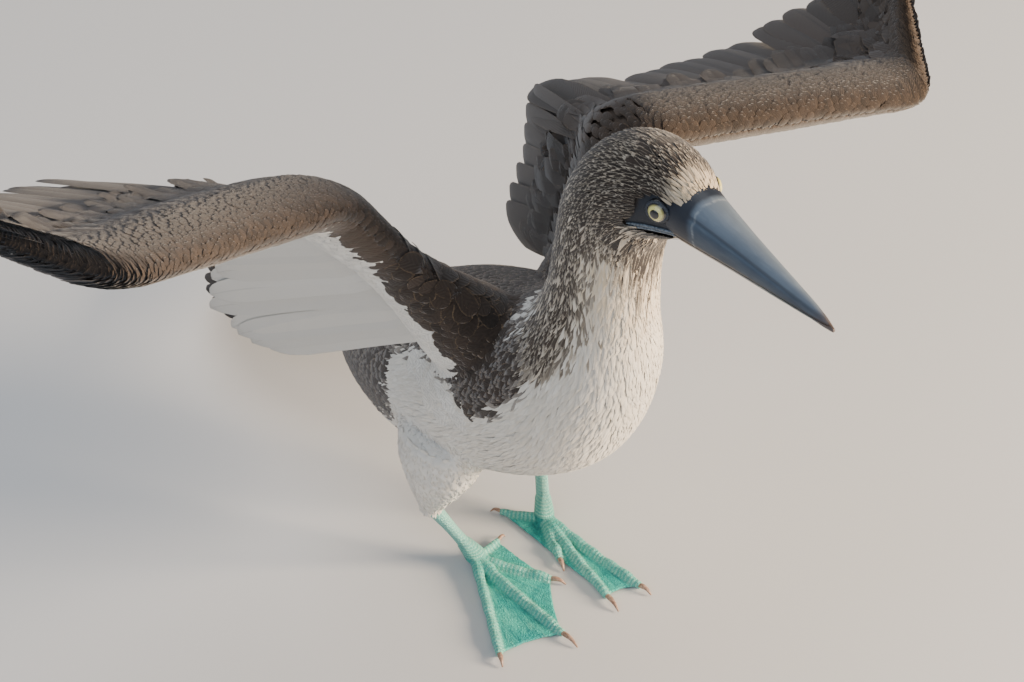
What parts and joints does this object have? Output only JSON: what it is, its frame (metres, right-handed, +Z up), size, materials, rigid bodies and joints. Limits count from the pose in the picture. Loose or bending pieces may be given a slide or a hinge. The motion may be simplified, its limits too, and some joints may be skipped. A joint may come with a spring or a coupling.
{
  "type": "blue-footed booby",
  "caption": "Life-size seabird standing on webbed feet with both wings raised and half folded, posed as one still piece.",
  "frame": {"origin": "point of the floor under the middle of the bird's bounding box", "axes": "+Z up from the floor, -Y is the way the bird faces, +X is its left side"},
  "size_m": [0.988, 0.5942, 0.4523],
  "materials": {
    "white_plumage": "soft matte feathers",
    "streaked_plumage": "soft matte feathers, brown streaked with cream",
    "brown_plumage": "matte feathers",
    "bill_horn": "satin horn",
    "foot_skin": "satin scaly skin",
    "claw_horn": "satin horn",
    "eye": "wet gloss"
  },
  "bodies": {
    "root": {"torso": "white_plumage", "neck": "streaked_plumage", "head": "streaked_plumage", "bill_upper": "bill_horn", "bill_lower": "bill_horn", "right_eye": "eye", "left_eye": "eye", "tail": "brown_plumage", "right_upper_arm": "brown_plumage", "right_forearm": "brown_plumage", "right_hand": "brown_plumage", "left_upper_arm": "brown_plumage", "left_forearm": "brown_plumage", "left_hand": "brown_plumage", "right_thigh": "white_plumage", "right_shank": "foot_skin", "right_foot": "foot_skin", "right_hallux_claw": "claw_horn", "right_inner_claw": "claw_horn", "right_middle_claw": "claw_horn", "right_outer_claw": "claw_horn", "left_thigh": "white_plumage", "left_shank": "foot_skin", "left_foot": "foot_skin", "left_hallux_claw": "claw_horn", "left_inner_claw": "claw_horn", "left_middle_claw": "claw_horn", "left_outer_claw": "claw_horn"}
  },
  "joints": []
}
